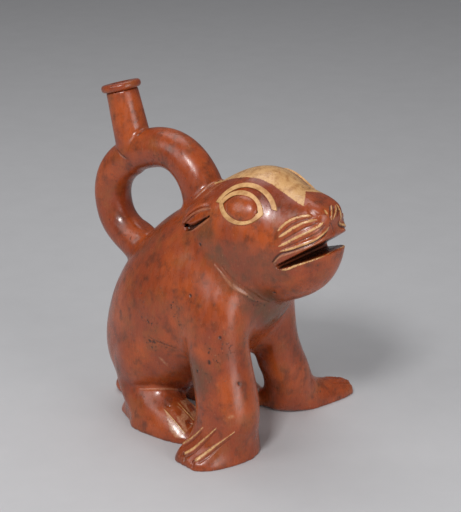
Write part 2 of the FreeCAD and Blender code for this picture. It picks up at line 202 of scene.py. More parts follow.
def read(values, name, width, kind=float):
    """A mesh collection's values as an array with width columns."""
    out = np.empty(len(values) * width, kind)
    values.foreach_get(name, out)
    return out.reshape(-1, width)


def smooth_step(low, high, value):
    share = np.clip((value - low) / (high - low), 0, 1)
    return share * share * (3 - 2 * share)


def put_attribute(mesh, name, values):
    attribute = mesh.attributes.new(name, "FLOAT", "POINT")
    attribute.data.foreach_set("value", np.asarray(values, np.float32))


# Places in the picture. A line through pixels has this many steps to a stretch, and ends where it leaps.

LINE_STEPS = 6
LEAP = 5 * MM


def ray(pixel):
    """The direction in which the camera sees a pixel."""
    across = (pixel[0] - PICTURE_WIDTH / 2) / FOCAL_PIXELS
    down = (pixel[1] - PICTURE_HEIGHT / 2) / FOCAL_PIXELS
    return (ACROSS * across - UP * down - BACK).normalized()


def pixels_of(points):
    """Where the camera sees points: an array of pixel pairs."""
    away = points - np.array(CAMERA_PLACE)
    depth = -(away @ np.array(BACK))
    across = away @ np.array(ACROSS) / depth * FOCAL_PIXELS + PICTURE_WIDTH / 2
    down = PICTURE_HEIGHT / 2 - away @ np.array(UP) / depth * FOCAL_PIXELS
    return np.column_stack((across, down))


def rounded_line(pixels):
    """A line through the pixels, rounded by a Catmull-Rom curve."""
    points = np.array([pixels[0], *pixels, pixels[-1]], float)
    out = []
    for before, start, end, after in zip(points, points[1:], points[2:], points[3:]):
        for t in np.arange(LINE_STEPS) / LINE_STEPS:
            out.append(0.5 * (
                2 * start
                + (end - before) * t
                + (2 * before - 5 * start + 4 * end - after) * t ** 2
                + (3 * start - before - 3 * end + after) * t ** 3
            ))
    return np.array([*out, points[-1]])


def skin_tree(skin):
    mesh = skin.data
    return BVHTree.FromPolygons([v.co for v in mesh.vertices], [p.vertices for p in mesh.polygons])


def on_skin(tree, pixels):
    """The rounded line through the pixels, laid on the skin, up to where it leaps to another part of it."""
    hits = [tree.ray_cast(CAMERA_PLACE, ray(pixel))[0] for pixel in rounded_line(pixels)]
    hits = np.array([hit for hit in hits if hit is not None])
    leaps = np.linalg.norm(np.diff(hits, axis=0), axis=1) > LEAP
    return hits[:leaps.argmax() + 1] if leaps.any() else hits


def mirrored(points):
    return points * (-1, 1, 1) + (2 * MIRROR, 0, 0)


def line_distance(points, line):
    """The distance of each point to a line of stretches, and the share of the line at its nearest place."""
    best = np.full(len(points), np.inf)
    share = np.zeros(len(points))
    count = len(line) - 1
    for i in range(count):
        start = line[i]
        stretch = line[i + 1] - start
        along = np.clip((points - start) @ stretch / max(stretch @ stretch, TINY), 0, 1)
        distance = np.linalg.norm(points - start - along[:, None] * stretch, axis=1)
        nearer = distance < best
        best[nearer] = distance[nearer]
        share[nearer] = (i + along[nearer]) / count
    return best, share


def near_line(points, line, reach):
    """The numbers of the points in the line's box, grown by reach."""
    low = line.min(axis=0) - reach
    high = line.max(axis=0) + reach
    return np.flatnonzero(((points > low) & (points < high)).all(axis=1))


# The skin.

LEAST_STRENGTH = 0.001


def bore_plug():
    """A plug in the spout's bore, so that the skin doesn't run down inside the tube."""
    bore = next(m for m in frame["record"]["mounts"] if m["name"] == "spout_bore")
    deselect()
    bpy.ops.mesh.primitive_cylinder_add(
        vertices=PLUG_CORNERS,
        radius=bore["dims"]["r_mm"] * MM + PLUG_EXCESS,
        depth=bore["dims"]["length_mm"] * MM * PLUG_SHARE,
        location=bore["pos_m"],
        rotation=Vector(bore["axis"]).to_track_quat("Z", "Y").to_euler(),
    )
    plug = bpy.context.object
    bpy.ops.object.transform_apply(location=True, rotation=True, scale=True)
    return plug


def keep_outside(skin):
    """Deletes what isn't joined to the highest vertex: the walls of the closed hollows."""
    heights = read(skin.data.vertices, "co", 3)[:, 2]
    select(skin)
    bpy.ops.object.mode_set(mode="EDIT")
    bpy.ops.mesh.select_all(action="DESELECT")
    bpy.ops.object.mode_set(mode="OBJECT")
    skin.data.vertices[int(heights.argmax())].select = True
    bpy.ops.object.mode_set(mode="EDIT")
    bpy.ops.mesh.select_linked()
    bpy.ops.mesh.select_all(action="INVERT")
    bpy.ops.mesh.delete(type="VERT")
    bpy.ops.object.mode_set(mode="OBJECT")


def measure_nearness(skin):
    """Stores each vertex's distance to each clay piece of the frame, as attributes near_NODE."""
    tree = bpy.data.node_groups.new("nearness", "GeometryNodeTree")
    tree.interface.new_socket("Geometry", in_out="INPUT", socket_type="NodeSocketGeometry")
    tree.interface.new_socket("Geometry", in_out="OUTPUT", socket_type="NodeSocketGeometry")
    geometry = tree.nodes.new("NodeGroupInput").outputs[0]
    for node in CLAY:
        piece = tree.nodes.new("GeometryNodeObjectInfo")
        piece.inputs["Object"].default_value = frame["nodes"][node]
        near = tree.nodes.new("GeometryNodeProximity")
        near.target_element = "FACES"
        store = tree.nodes.new("GeometryNodeStoreNamedAttribute")
        store.data_type = "FLOAT"
        store.domain = "POINT"
        store.inputs["Name"].default_value = "near_" + node
        tree.links.new(piece.outputs["Geometry"], near.inputs[0])
        tree.links.new(geometry, store.inputs["Geometry"])
        tree.links.new(near.outputs["Distance"], store.inputs["Value"])
        geometry = store.outputs["Geometry"]
    tree.links.new(geometry, tree.nodes.new("NodeGroupOutput").inputs[0])
    apply(skin, "NODES", node_group=tree)


def nearness(skin):
    """The distances as an array, one column for each piece in CLAY."""
    columns = [read(skin.data.attributes["near_" + node].data, "value", 1) for node in CLAY]
    return np.hstack(columns)


def nearest_of(distances, start):
    """The distance to the nearest piece whose name starts so."""
    return distances[:, [i for i, node in enumerate(CLAY) if node.startswith(start)]].min(axis=1)


def neighbours(skin, used):
    """For each used vertex the numbers of its neighbours, padded with the number of all vertices."""
    edges = read(skin.data.edges, "vertices", 2, np.int32)
    ends = np.vstack([edges, edges[:, ::-1]])
    ends = ends[np.argsort(ends[:, 0], kind="stable")]
    count = len(skin.data.vertices)
    starts = np.searchsorted(ends[:, 0], used)
    sizes = np.searchsorted(ends[:, 0], used, side="right") - starts
    table = np.full((len(used), sizes.max()), count)
    for column in range(sizes.max()):
        has = sizes > column
        table[has, column] = ends[starts[has] + column, 1]
    return table, sizes


def smooth(skin, strength, rounds):
    """Moves each vertex towards the middle of its neighbours, by half its strength in each round."""
    used = np.flatnonzero(strength > LEAST_STRENGTH)
    table, sizes = neighbours(skin, used)
    points = np.vstack([read(skin.data.vertices, "co", 3), (0, 0, 0)])
    pull = 0.5 * strength[used, None]
    for _ in range(rounds):
        middles = points[table].sum(axis=1) / sizes[:, None]
        points[used] += (middles - points[used]) * pull
    put_points(skin, points[:-1])


def put_points(skin, points):
    """Moves the skin's vertices, none of them under the ground."""
    points[:, 2] = np.maximum(points[:, 2], 0)
    skin.data.vertices.foreach_set("co", points.ravel())
    skin.data.update()


def crease_share(points, tree):
    """How much of the smoothing stays near the kept creases."""
    share = np.ones(len(points))
    for pixels in KEPT_CREASES:
        line = on_skin(tree, pixels)
        for crease in (line, mirrored(line)):
            near = near_line(points, crease, KEPT_FAR)
            distance = line_distance(points[near], crease)[0]
            kept = KEPT_SHARE + (1 - KEPT_SHARE) * smooth_step(KEPT_NEAR, KEPT_FAR, distance)
            share[near] = np.minimum(share[near], kept)
    return share


def blend_seams(skin):
    """Smooths the clay where its pieces join, as SEAM_BLENDS says, and the hind toes."""
    distances = nearness(skin)
    points = read(skin.data.vertices, "co", 3)
    tree = skin_tree(skin)
    share = crease_share(points, tree)
    laid_on = np.zeros(len(points))
    for rounds in sorted({seam[4] for seam in SEAM_BLENDS}):
        strength = np.zeros(len(points))
        for first, second, reach, most, own_rounds, height in SEAM_BLENDS:
            if own_rounds == rounds:
                gap = np.maximum(nearest_of(distances, first), nearest_of(distances, second))
                strength = np.maximum(strength, most * smooth_step(reach, 0, gap))
                laid_on = np.maximum(laid_on, height * smooth_step(reach, 0, gap))
        smooth(skin, strength * share, rounds)
    normals = read(skin.data.vertex_normals, "vector", 3)
    put_points(skin, read(skin.data.vertices, "co", 3) + normals * (laid_on * share)[:, None])
    strength = np.zeros(len(points))
    for pixels in SOFT_TOES:
        line = on_skin(tree, pixels)
        for toe in (line, mirrored(line)):
            near = near_line(points, toe, SOFT_REACH)
            distance = line_distance(points[near], toe)[0]
            strength[near] = np.maximum(strength[near], smooth_step(SOFT_REACH, SOFT_REACH / 2, distance))
    smooth(skin, strength, SOFT_ROUNDS)
    smooth(skin, np.ones(len(points)), LAST_ROUNDS)


def shape_forms(skin):
    """Raises and sinks the broad forms, and smooths them."""
    points = read(skin.data.vertices, "co", 3)
    tree = skin_tree(skin)
    normals = read(skin.data.vertex_normals, "vector", 3)
    moves = np.zeros((len(points), 3))
    touched = np.zeros(len(points))
    for pixels, half_width, height, rightward in BROAD_FORMS:
        line = on_skin(tree, pixels)
        for form, side in ((line, (1, 1, 1)), (mirrored(line), (-1, 1, 1))):
            foot = FORM_FOOT_SHARE * half_width
            near = near_line(points, form, foot)
            shape = smooth_step(foot, 0, line_distance(points[near], form)[0])
            moves[near] += shape[:, None] * (height * normals[near] + rightward * np.array(ACROSS) * side)
            touched[near] = np.maximum(touched[near], shape)
    put_points(skin, points + moves)
    smooth(skin, touched, FORM_ROUNDS)


def make_skin():
    """The outside of the whole vessel as one closed mesh."""
    copies = [node_copy(node, "skin_" + node) for node in CLAY] + [bore_plug()]
    deselect()
    for copy in copies:
        copy.select_set(True)
    bpy.context.view_layer.objects.active = copies[0]
    bpy.ops.object.join()
    skin = copies[0]
    apply(skin, "REMESH", mode="VOXEL", voxel_size=SKIN_CELL)
    keep_outside(skin)
    measure_nearness(skin)
    blend_seams(skin)
    shape_forms(skin)
    return skin


# What is worked into the clay, each kind as lines in picture places. It has a half width, a height (below
# zero for grooves), the marks that it leaves with their strengths, and the shares of a line's length over
# which its start and its end taper. The first table's lines lie on the right side and are mirrored to the
# left. A line is at its full height up to the crest's share of its half width, and ends at the foot's share.
# Its tapered tip keeps the tip's share of the width.

Worked = namedtuple("Worked", "lines half_width height marks tapers")

CREST_SHARE = 0.35
FOOT_SHARE = 1.3
TIP_SHARE = 0.3

WHISKERS = (
    ((277.8, 231.1), (283.3, 225.2), (290.7, 220.1), (298, 217.5), (304.6, 216), (310.5, 215.7)),
    ((278.9, 237), (286.3, 232.6), (294.3, 227.4), (301.7, 223.8), (309, 221.2), (316.4, 219.7)),
    ((278.6, 246.5), (287, 242.5), (295.8, 237.7), (305.4, 233.3), (314.9, 228.2), (320, 225.2),
     (323, 222.3)),
    ((280, 251.3), (289.2, 249.4), (298, 246.5), (306.1, 243.6), (314.9, 239.9), (320.8, 235.9),
     (325.9, 231.1), (328.8, 226)),
)
WHISKER_GROOVES = (
    ((281, 234), (290.5, 225.4), (300, 221), (312, 218)),
    ((281, 241.5), (291, 235.6), (303, 229), (313, 224.6), (319, 221.5)),
    ((282, 249), (293, 244), (305, 238.8), (316, 233.6), (322.5, 228.8), (326, 224)),
)
LIP_GROOVE = (
    (272, 262.6), (276, 257.5), (281.1, 253.8), (289.2, 251.6), (300.2, 248), (310.5, 244.3),
    (319.3, 239.2), (325.2, 234), (328.8, 228.2), (330.3, 222.3),
)
UPPER_LIP = (
    (273.6, 263.4), (278.5, 257.6), (285, 255), (296, 251.4), (310, 246.6), (321, 240.8), (327, 235),
)
LOWER_LIP = ((281, 270.2), (288, 268.9), (298, 264.9), (312, 260.2), (323, 256.3), (333, 251.3))
NOSTRIL = ((324.6, 209), (326.2, 211.8), (327.6, 214.8))
NOSE_CREASE = ((309, 203.5), (309.4, 209), (312.5, 213), (318, 215.6))
BROW_CREASES = (
    ((205.4, 196.7), (210.5, 191.6), (216, 187.1), (222, 183.4)),
    ((194.4, 199.6), (202, 191.6), (210.2, 185), (218, 180.8)),
)
EAR_RIM = ((184.2, 222.6), (188.5, 217.6), (194.7, 212.8), (203, 209.4), (210.3, 208.3))
EAR_SLIT = ((184.6, 227), (189.5, 227.4), (196, 224.2), (202.5, 220), (208.8, 216.2))
EAR_UNDER = ((186.5, 231), (192.5, 229.6), (200, 225.5), (209.5, 218.5))
SPOUT_CREASES = (
    ((116.9, 149.2), (121.5, 155.2), (128.4, 160)),
    ((136.6, 136.4), (140.5, 133), (144, 130.1)),
)
HIND_TOES = (
    ((164, 409), (174.5, 421), (185.3, 433.6)),
    ((177.5, 402.4), (186.5, 412.3), (195.2, 421.8)),
    ((185.2, 398.6), (191.5, 402.3), (197.6, 406.5)),
)
FLIPPER_RIM = ((139, 389.3), (153.8, 389.2), (165, 388.8), (176.7, 389.6), (188, 394), (197, 400))

# Broad forms, on both sides: a picture line, its half width, its height and how far it moves to the right
# in the picture. A form ends at the foot's share of its half width.
BROAD_FORMS = (
    (((315.2, 207.2), (316.2, 208)), 4.5 * MM, 1.0 * MM, 0),
    (((308.5, 192.5), (317, 197), (325, 202)), 7 * MM, -0.9 * MM, 0),
    (((325.5, 214), (326.5, 218)), 5 * MM, 1.5 * MM, 0),
    (((334.5, 206), (336.5, 213)), 5 * MM, 0.6 * MM, 1.2 * MM),
    (((337.5, 223), (339.5, 227)), 4 * MM, 0, -1.6 * MM),
    (((213, 203), (214, 204)), 3.5 * MM, 1.6 * MM, 0),
    (((139.5, 214), (146, 221), (151, 226.5)), 4 * MM, 1.4 * MM, 0),
    (((131, 362), (128.5, 374), (126, 388)), 11 * MM, 3.4 * MM, 0),
    (((120.3, 398), (120, 406), (122, 412)), 9 * MM, 0, 4 * MM),
)
FORM_FOOT_SHARE = 1.6
FORM_ROUNDS = 60

MIRRORED_LINES = (
    Worked(WHISKERS, 0.9 * MM, 0.45 * MM, {"cream": 0.8, "wear_and_highlight": 0.5}, (0.12, 0.12)),
    # The dark marks in these grooves, creases and the ear's slit are painted shade.
    Worked(WHISKER_GROOVES, 0.5 * MM, -0.25 * MM, {"dirt_and_shade": 0.6}, (0.2, 0.2)),
    Worked([LIP_GROOVE], 0.6 * MM, -0.6 * MM, {"dirt_and_shade": 0.9}, (0.1, 0.1)),
    # The pale marks on the upper lip, the brow creases, the ear's rims and the flipper's rim are painted
    # highlights.
    Worked([UPPER_LIP], 0.5 * MM, 0.2 * MM, {"wear_and_highlight": 0.6}, (0.1, 0.4)),
    Worked([LOWER_LIP], 0.8 * MM, 0.25 * MM, {"cream": 0.72}, (0.15, 0.3)),
    Worked([NOSTRIL], 1.0 * MM, -0.4 * MM, {"cream": 0.75}, (0.4, 0.4)),
    Worked([NOSE_CREASE], 1.8 * MM, -0.3 * MM, {"dirt_and_shade": 0.12}, (0.3, 0.3)),
    Worked(BROW_CREASES, 0.7 * MM, 0.4 * MM, {"wear_and_highlight": 0.5}, (0.3, 0.3)),
    Worked([EAR_RIM], 0.9 * MM, 0.5 * MM, {"wear_and_highlight": 0.5}, (0.2, 0.2)),
    Worked([EAR_SLIT], 1.9 * MM, -3.0 * MM, {"dirt_and_shade": 1}, (0.05, 0.7)),
    Worked([EAR_UNDER], 0.7 * MM, 0.25 * MM, {"wear_and_highlight": 0.35}, (0.2, 0.2)),
    Worked(SPOUT_CREASES, 0.6 * MM, -0.5 * MM, {"dirt_and_shade": 0.6}, (0.3, 0.3)),
    Worked(HIND_TOES, 0.45 * MM, 0.25 * MM, {"cream": 0.95}, (0.2, 0.05)),
    Worked([FLIPPER_RIM], 0.7 * MM, 0.2 * MM, {"wear_and_highlight": 0.5}, (0.3, 0.3)),
)

NOSE_RIDGES = (
    ((331.4, 204.9), (331.6, 212), (331.3, 220.6)),
    ((335.4, 204.6), (335.9, 210), (334.6, 215.6), (332.6, 220)),
)
NOSE_GROOVES = (
    ((329.7, 205.2), (329.9, 212), (329.7, 218.6)),
    ((333.4, 204.8), (333.7, 211), (333, 216.6)),
    ((338, 206), (338.4, 211), (337.4, 216)),
)
CHIN_GROOVE = ((331.6, 222.8), (332.6, 227.5), (334.3, 232.3))
FAR_NOSTRIL = ((338.6, 207), (340, 211.5), (340.8, 216.5), (340.6, 220))
FORE_TOES = (
    ((202.9, 427.6), (196, 434.6), (188.5, 440.6), (182.6, 444)),
    ((216.3, 428.2), (203.5, 440), (193, 449), (184.4, 454)),
    ((234.1, 432), (217, 444.5), (204, 454.5), (195, 461)),
)
TOE_NOTCHES = (
    ((183.6, 452), (183.4, 456), (184, 460.4)),
    ((194, 460), (192.6, 463), (192, 466.6)),
)
FORE_TOE_GROOVES = (
    ((202, 431), (195, 438), (186.5, 444.6), (182.4, 447)),
    ((215, 432), (204.5, 442.5), (194, 452), (186, 457)),
    ((231, 438), (219, 447.5), (207, 457.5), (198.5, 463)),
)
THROAT_RIM = ((214.6, 264.8), (221, 273), (228.7, 282), (236.3, 288.6), (246.5, 295), (254.2, 300.5))
THROAT_CREASE = ((222, 267), (228, 275.5), (235, 283), (243, 289.3), (252, 295), (260, 299.5), (268, 302))
THROAT_DIRT = ((243, 295.5), (251, 300), (259, 306))
CRACK = ((147.7, 336), (155, 340.5), (165, 344.5), (176, 348.5))
PIT_ZONES = (
    ((141, 303), (141, 313)), ((146, 318), (157, 326)), ((171, 308), (181, 325)), ((172, 304), (181, 309)),
    ((147, 341), (154, 347)), ((162, 344), (173, 348)), ((207, 348), (212, 353)), ((218, 360), (229, 354)),
    ((226, 347), (231, 352)), ((243, 343), (247, 335)), ((254, 285), (259, 286)), ((247, 299), (261, 306)),
)
CHIPS = (
    ((190.2, 295), (190.6, 296)), ((274.3, 292.7), (275, 293)), ((239, 383.2), (239.3, 384)),
    ((220, 337.2), (220.2, 338)), ((197, 370.6), (197.2, 371.4)), ((199.8, 244), (200.2, 244.8)),
    ((209, 361.4), (209.2, 363.6)), ((153.4, 341.6), (154.6, 342.6)), ((149.4, 340.6), (150.2, 341.6)),
)
SCRATCHES = (
    ((158.5, 356.5), (163, 361), (168, 366.5)), ((228, 417.5), (234, 416)), ((252, 345), (251, 372)),
)
SMOKE = (((205, 234), (212, 248), (221, 266), (229, 282)),)
DARK_CHEEK = (((238, 262), (252, 272), (264, 270)),)
DARK_CLAY = (((262, 186), (274, 197), (283, 203)), ((215, 190), (226, 186)))
# Painted shade under the chin and between the right foreleg and the hind flipper, laid on as smoke and
# maroon marks.
PAINTED_HOLLOW_SHADE = (((262, 300), (274, 312), (284, 322)), ((196, 376), (186, 370)))

RIGHT_LINES = (
    Worked(NOSE_RIDGES, 0.45 * MM, 0.25 * MM, {"cream": 0.9}, (0.15, 0.15)),
    # The dark marks in the nose, chin and toe grooves are painted shade; those on the throat, the crack and
    # the chips are dirt.
    Worked(NOSE_GROOVES, 0.4 * MM, -0.4 * MM, {"dirt_and_shade": 0.8}, (0.2, 0.2)),
    Worked([CHIN_GROOVE], 0.4 * MM, -0.3 * MM, {"dirt_and_shade": 0.6}, (0.2, 0.2)),
    Worked([FAR_NOSTRIL], 1.2 * MM, 0.3 * MM, {"cream": 0.75}, (0.3, 0.3)),
    Worked(FORE_TOES, 1.3 * MM, 0.6 * MM, {"cream": 0.72, "wear_and_highlight": 0.9}, (1, 0.06)),
    Worked(TOE_NOTCHES, 1.4 * MM, -1.1 * MM, {"dirt_and_shade": 0.15}, (0.5, 0)),
    Worked(FORE_TOE_GROOVES, 0.7 * MM, -0.5 * MM, {"dirt_and_shade": 0.35}, (0.5, 0.05)),
    Worked([THROAT_CREASE], 1.9 * MM, -0.5 * MM, {"smoke_and_shade": 0.5}, (0.5, 0.3)),
    Worked([THROAT_RIM], 1.6 * MM, 0.3 * MM, {"wear_and_highlight": 0.3}, (0.8, 0.5)),
    Worked([THROAT_DIRT], 2 * MM, -0.2 * MM, {"dirt_and_shade": 0.3, "pits": 1}, (0.4, 0.4)),
    Worked([CRACK], 0.6 * MM, -0.3 * MM, {"dirt_and_shade": 0.5, "pits": 1}, (0.3, 0.3)),
    Worked(PIT_ZONES, 3.5 * MM, 0, {"pits": 1, "smoke_and_shade": 0.35}, (0, 0)),
    Worked(CHIPS, 0.9 * MM, -0.35 * MM, {"dirt_and_shade": 1}, (0, 0)),
    # The pale mark on the ankle's scratch is partly a painted highlight.
    Worked(SCRATCHES, 0.8 * MM, 0, {"wear_and_highlight": 0.6}, (0.4, 0.4)),
    Worked(SMOKE, 8 * MM, 0, {"smoke_and_shade": 0.7}, (0, 0)),
    Worked(DARK_CHEEK, 14 * MM, 0, {"smoke_and_shade": 0.4, "maroon_and_shade": 0.5}, (0, 0)),
    Worked(DARK_CLAY, 10 * MM, 0, {"maroon_and_shade": 0.7}, (0, 0)),
    Worked(PAINTED_HOLLOW_SHADE, 13 * MM, 0, {"smoke_and_shade": 0.9, "maroon_and_shade": 0.8}, (0, 0)),
)
BROADEST_FINE = 2 * MM

# Areas of slip: an outline in picture places, the piece that it lies on, its mark and the mark's strength.
# The forehead's is open above, where it passes over the head's top. The others are the hind flippers' worn
# toes, with a bare nail in each.

Patch = namedtuple("Patch", "outline node mark strength")

PATCHES = (
    Patch(
        (
            (214, 184), (221, 182.4), (228, 179.6), (236, 178), (246.5, 177), (259.3, 178.5), (272, 184.2),
            (284.8, 193.6), (297.6, 202.8), (303.9, 206.3), (306.4, 188), (306.5, 150), (214, 150),
        ),
        "head_shell",
        "cream",
        1,
    ),
    Patch(
        ((165.5, 411), (185, 433.5), (181.5, 438.5), (175, 437.5), (170, 430), (167.5, 421)),
        "hind_flipper",
        "wear_and_highlight",
        0.8,
    ),
    Patch(((173, 412), (185, 433), (194, 424), (184, 411), (178, 406)), "hind_flipper", "wear_and_highlight", 0.7),
    Patch(((180, 401), (195, 420), (197.5, 407), (187, 399)), "hind_flipper", "wear_and_highlight", 0.7),
    Patch(((172, 408.5), (177, 406), (182, 411), (181, 416.5), (175.5, 416)), "hind_flipper", "wear_and_highlight", 0),
    Patch(((184.5, 420.5), (190, 418), (192, 424), (187, 430)), "hind_flipper", "wear_and_highlight", 0),
    Patch(((186.3, 404.8), (191, 403.4), (196, 409.5), (190.7, 412.4)), "hind_flipper", "wear_and_highlight", 0),
)

# Of these marks, the smoke, maroon and dirt marks also carry painted shade, the pale mark also painted
# highlights, and the cavity mark only painted shade.
MARKS = ("cream", "dirt_and_shade", "smoke_and_shade", "maroon_and_shade", "pits", "wear_and_highlight", "cavity_shade")


def divide_near(skin, lines, reach):
    """Divides the faces near the lines into finer ones."""
    points = read(skin.data.vertices, "co", 3)
    marked = np.zeros(len(points), bool)
    for line in lines:
        near = near_line(points, line, reach)
        marked[near[line_distance(points[near], line)[0] < reach]] = True
    select(skin)
    bpy.ops.object.mode_set(mode="EDIT")
    bpy.ops.mesh.select_mode(type="VERT")
    bpy.ops.mesh.select_all(action="DESELECT")
    bpy.ops.object.mode_set(mode="OBJECT")
    skin.data.vertices.foreach_set("select", marked)
    bpy.ops.object.mode_set(mode="EDIT")
    bpy.ops.mesh.select_mode(type="FACE")
    bpy.ops.mesh.subdivide(number_cuts=1)
    bpy.ops.object.mode_set(mode="OBJECT")


def laid_lines(tree):
    """The worked lines on the skin: pairs of a line's points and its kind."""
    laid = []
    for table, sides in ((MIRRORED_LINES, 2), (RIGHT_LINES, 1)):
        for kind in table:
            for pixels in kind.lines:
                line = on_skin(tree, pixels)
                laid.append((line, kind))
                if sides == 2:
                    laid.append((mirrored(line), kind))
    return laid


def inside_outline(pixels, outline):
    """The signed distance of each picture place to an outline, in pixels: above zero inside."""
    inside = np.zeros(len(pixels), bool)
    best = np.full(len(pixels), np.inf)
    corners = np.array(outline, float)
    for start, end in zip(corners, np.roll(corners, -1, axis=0)):
        stretch = end - start
        along = np.clip((pixels - start) @ stretch / (stretch @ stretch), 0, 1)
        best = np.minimum(best, np.linalg.norm(pixels - start - along[:, None] * stretch, axis=1))
        crosses = (start[1] > pixels[:, 1]) != (end[1] > pixels[:, 1])
        rise = stretch[1] if stretch[1] else 1
        inside ^= crosses & (pixels[:, 0] < start[0] + (pixels[:, 1] - start[1]) * stretch[0] / rise)
    return np.where(inside, best, -best)


def lay_patches(marks, points, normals, distances):
    """Puts the patches' marks on both sides, and on the flippers only where the clay faces the camera."""
    far = points[:, 0] > MIRROR
    turned = np.where(far[:, None], mirrored(points), points)
    facing = np.where(far[:, None], normals * (-1, 1, 1), normals) @ np.array(BACK)
    pixels = pixels_of(turned)
    own = distances.min(axis=1)
    for patch in PATCHES:
        depth = inside_outline(pixels, patch.outline) * CAMERA_DISTANCE / FOCAL_PIXELS
        share = smooth_step(-PATCH_EDGE, PATCH_EDGE, depth)
        share *= nearest_of(distances, patch.node) <= own
        if patch.node == "hind_flipper":
            share *= facing > 0
        marks[patch.mark] += (patch.strength - marks[patch.mark]) * share


def room(tree, points, directions, start, reach):
    """How far each point sees along its direction before it meets the skin, at most reach."""
    seen = np.full(len(points), reach)
    starts = points + directions * start
    for i, (place, direction) in enumerate(zip(starts.tolist(), directions.tolist())):
        distance = tree.ray_cast(place, direction, reach)[3]
        if distance is not None:
            seen[i] = distance
    return seen


def taper(share, length):
    return smooth_step(0, length, share) if length else 1


def work_clay(skin):
    """Works the lines into the skin. Returns a row for each vertex: its place and its place before the work,
    its normal and its normal before the work, the clay's depth under it, and its marks."""
    tree = skin_tree(skin)
    laid = laid_lines(tree)
    fine = [line for line, kind in laid if kind.height and kind.half_width < BROADEST_FINE]
    divide_near(skin, fine, FINE_REACH)
    base = read(skin.data.vertices, "co", 3)
    normals = read(skin.data.vertex_normals, "vector", 3)
    depths = room(tree, base, -normals, START_GAP, SHELL_WALL / WALL_SHARE)
    raised = np.zeros(len(base))
    marks = {mark: np.zeros(len(base)) for mark in MARKS}
    lay_patches(marks, base, normals, nearness(skin))
    for line, kind in laid:
        near = near_line(base, line, FOOT_SHARE * kind.half_width)
        distance, share = line_distance(base[near], line)
        ends = taper(share, kind.tapers[0]) * taper(1 - share, kind.tapers[1])
        width = kind.half_width * (TIP_SHARE + (1 - TIP_SHARE) * ends)
        shape = smooth_step(FOOT_SHARE, CREST_SHARE, distance / width)
        raised[near] += kind.height * shape
        for mark, strength in kind.marks.items():
            marks[mark][near] = np.maximum(marks[mark][near], strength * shape)
        if "dirt_and_shade" in kind.marks:
            marks["cream"][near] *= 1 - shape
    worked = base + normals * raised[:, None]
    put_points(skin, worked)
    final_normals = read(skin.data.vertex_normals, "vector", 3)
    # Painted shade in hollows: the nearer the skin faces other clay, the darker it is painted.
    seen = room(skin_tree(skin), worked, final_normals, START_GAP, CAVITY_REACH)
    marks["cavity_shade"] = 1 - seen / CAVITY_REACH
    return np.column_stack((worked, base, final_normals, normals, depths, *marks.values()))


# Parting the skin into its pieces. A cut keeps this share of an edge away from the edge's ends.

CUT_MARGIN = 0.02


def seam_cuts(pairs, labels, distances):
    """Where the joint between two pieces cuts each edge: a share from the edge's first vertex."""
    first, second = pairs.T
    own_first = distances[first, labels[first]]
    own_second = distances[second, labels[second]]
    gap_first = distances[first, labels[second]] - own_first
    gap_second = distances[second, labels[first]] - own_second
    share = gap_first / np.maximum(gap_first + gap_second, TINY)
    return np.clip(share, CUT_MARGIN, 1 - CUT_MARGIN)


def part_triangles(triangles, labels, distances, rows):
    """Cuts the triangles along the joints. Returns all vertices' rows, the triangles and their labels."""
    count = len(rows)
    kinds = labels[triangles]
    same = (kinds == kinds[:, :1]).all(axis=1)
    mixed = triangles[~same]
    pairs = np.vstack([mixed[:, [0, 1]], mixed[:, [1, 2]], mixed[:, [2, 0]]])
    pairs.sort(axis=1)
    pairs = pairs[labels[pairs[:, 0]] != labels[pairs[:, 1]]]
    keys = np.unique(pairs[:, 0] * count + pairs[:, 1])
    pairs = np.column_stack((keys // count, keys % count))
    share = seam_cuts(pairs, labels, distances)[:, None]
    cut_rows = rows[pairs[:, 0]] * (1 - share) + rows[pairs[:, 1]] * share

    def cut(a, b):
        return count + np.searchsorted(keys, np.minimum(a, b) * count + np.maximum(a, b))

    kinds = labels[mixed]
    three = (kinds != np.roll(kinds, 1, axis=1)).all(axis=1)
    a, b, c = mixed[three].T
    middle = count + len(keys) + np.arange(len(a))
    ab, bc, ca = cut(a, b), cut(b, c), cut(c, a)
    middle_rows = (cut_rows[ab - count] + cut_rows[bc - count] + cut_rows[ca - count]) / 3
    parts = [triangles[same]]
    part_labels = [labels[triangles[same][:, 0]]]
    for corner, left, right in ((a, ab, ca), (b, bc, ab), (c, ca, bc)):
        parts += [np.column_stack((corner, left, middle)), np.column_stack((corner, middle, right))]
        part_labels += [labels[corner]] * 2
    two = mixed[~three]
    kinds = labels[two]
    odd = np.where(kinds[:, 1] == kinds[:, 2], 0, np.where(kinds[:, 0] == kinds[:, 2], 1, 2))
    order = (odd[:, None] + np.arange(3)) % 3
    o, p, q = np.take_along_axis(two, order, axis=1).T
    op, oq = cut(o, p), cut(o, q)
    parts += [np.column_stack(corners) for corners in ((o, op, oq), (op, p, q), (op, q, oq))]
    part_labels += [labels[o], labels[p], labels[p]]
    return np.vstack([rows, cut_rows, middle_rows]), np.vstack(parts), np.concatenate(part_labels)


def open_edges(triangles, count):
    """The edges with a triangle on one side only, each in its triangle's direction."""
    edges = np.vstack([triangles[:, [0, 1]], triangles[:, [1, 2]], triangles[:, [2, 0]]])
    forward = edges[:, 0] * count + edges[:, 1]
    backward = edges[:, 1] * count + edges[:, 0]
    return edges[~np.isin(forward, backward)]


def edge_rings(edges):
    """Groups open edges into rings."""
    following = {}
    for start, end in edges.tolist():
        following.setdefault(start, []).append(end)
    rings = []
    while following:
        start = place = next(iter(following))
        ring = []
        while place in following:
            end = following[place].pop()
            if not following[place]:
                del following[place]
            ring.append((place, end))
            place = end
            if place == start:
                break
        rings.append(np.array(ring))
    return rings


